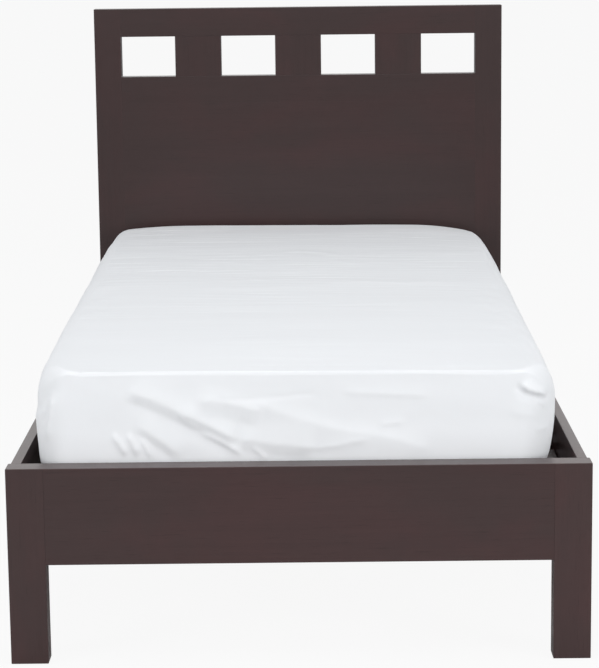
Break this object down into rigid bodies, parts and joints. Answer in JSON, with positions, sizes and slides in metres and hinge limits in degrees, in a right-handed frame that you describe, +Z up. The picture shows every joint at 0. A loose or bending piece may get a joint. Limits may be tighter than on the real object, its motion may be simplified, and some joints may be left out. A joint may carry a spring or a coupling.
{
  "type": "platform bed",
  "caption": "Twin platform bed: dark wooden headboard with window cut-outs, low footboard, side rails, slatted deck, and a mattress in a fitted sheet.",
  "frame": {"origin": "on the floor, at the middle of the bed's length and width", "axes": "+Z up, +Y from the foot to the head, +X to the right for someone facing the headboard"},
  "size_m": [1.067, 2.05, 1.124],
  "materials": {
    "espresso_wood": "satin",
    "bare_wood": "matte",
    "zinc_steel": "satin",
    "black_steel": "satin",
    "brass_insert": "satin",
    "black_plastic": "matte",
    "webbing": "matte",
    "ticking": "matte",
    "white_sheet": "matte"
  },
  "bodies": {
    "frame": {"headboard_post_left": "espresso_wood", "headboard_post_right": "espresso_wood", "headboard_top_rail": "espresso_wood", "headboard_divider_left": "espresso_wood", "headboard_divider_centre": "espresso_wood", "headboard_divider_right": "espresso_wood", "headboard_window_rail": "espresso_wood", "headboard_panel": "espresso_wood", "headboard_lower_rail": "espresso_wood", "headboard_batten_left": "espresso_wood", "headboard_batten_right": "espresso_wood", "headboard_dowels": "bare_wood", "footboard_leg_left": "espresso_wood", "footboard_leg_right": "espresso_wood", "footboard_panel": "espresso_wood", "footboard_dowels": "bare_wood", "side_rail_left": "espresso_wood", "side_rail_right": "espresso_wood", "rail_dowels": "bare_wood", "cleat_left": "espresso_wood", "cleat_right": "espresso_wood", "cleat_screws": "zinc_steel", "corner_bracket_foot_left": "black_steel", "corner_bracket_foot_right": "black_steel", "corner_bracket_head_left": "black_steel", "corner_bracket_head_right": "black_steel", "bracket_bolts": "black_steel", "bracket_washers": "zinc_steel", "steel_screws": "zinc_steel", "threaded_inserts": "brass_insert", "centre_beam": "bare_wood", "beam_hanger_foot": "black_steel", "beam_hanger_head": "black_steel", "centre_leg_foot": "bare_wood", "centre_leg_head": "bare_wood", "hanger_bolts": "zinc_steel", "slat_01": "espresso_wood", "slat_02": "espresso_wood", "slat_03": "espresso_wood", "slat_04": "espresso_wood", "slat_05": "espresso_wood", "slat_06": "espresso_wood", "slat_07": "espresso_wood", "slat_08": "espresso_wood", "slat_09": "espresso_wood", "slat_10": "espresso_wood", "slat_11": "espresso_wood", "slat_12": "espresso_wood", "slat_13": "espresso_wood", "slat_14": "espresso_wood", "slat_webbing": "webbing", "slat_screws": "black_steel", "floor_glides": "black_plastic"},
    "mattress": {"mattress": "ticking", "fitted_sheet": "white_sheet"},
    "foot_levelling_pad": {"levelling_pad_foot": "black_plastic"},
    "foot_levelling_stem": {"levelling_stem_foot": "zinc_steel"},
    "head_levelling_pad": {"levelling_pad_head": "black_plastic"},
    "head_levelling_stem": {"levelling_stem_head": "zinc_steel"}
  },
  "joints": [
    {"name": "mattress_lift", "type": "slide", "parent": "frame", "child": "mattress", "axis": [0, 0, 1], "range_m": [0, 0.35]},
    {"name": "foot_levelling_travel", "type": "slide", "parent": "frame", "child": "foot_levelling_pad", "axis": [0, 0, -1], "range_m": [-0.008, 0.01]},
    {"name": "foot_levelling_turn", "type": "hinge", "parent": "foot_levelling_pad", "child": "foot_levelling_stem", "pos_m": [0, -0.3, 0.03], "axis": [0, 0, -1], "range_deg": [-2305, 2881]},
    {"name": "head_levelling_travel", "type": "slide", "parent": "frame", "child": "head_levelling_pad", "axis": [0, 0, -1], "range_m": [-0.008, 0.01]},
    {"name": "head_levelling_turn", "type": "hinge", "parent": "head_levelling_pad", "child": "head_levelling_stem", "pos_m": [0, 0.3, 0.03], "axis": [0, 0, -1], "range_deg": [-2305, 2881]}
  ],
  "couplings": [
    {"joint": "foot_levelling_turn", "follows": "foot_levelling_travel", "rad_per_m": 5026.5},
    {"joint": "head_levelling_turn", "follows": "head_levelling_travel", "rad_per_m": 5026.5}
  ]
}
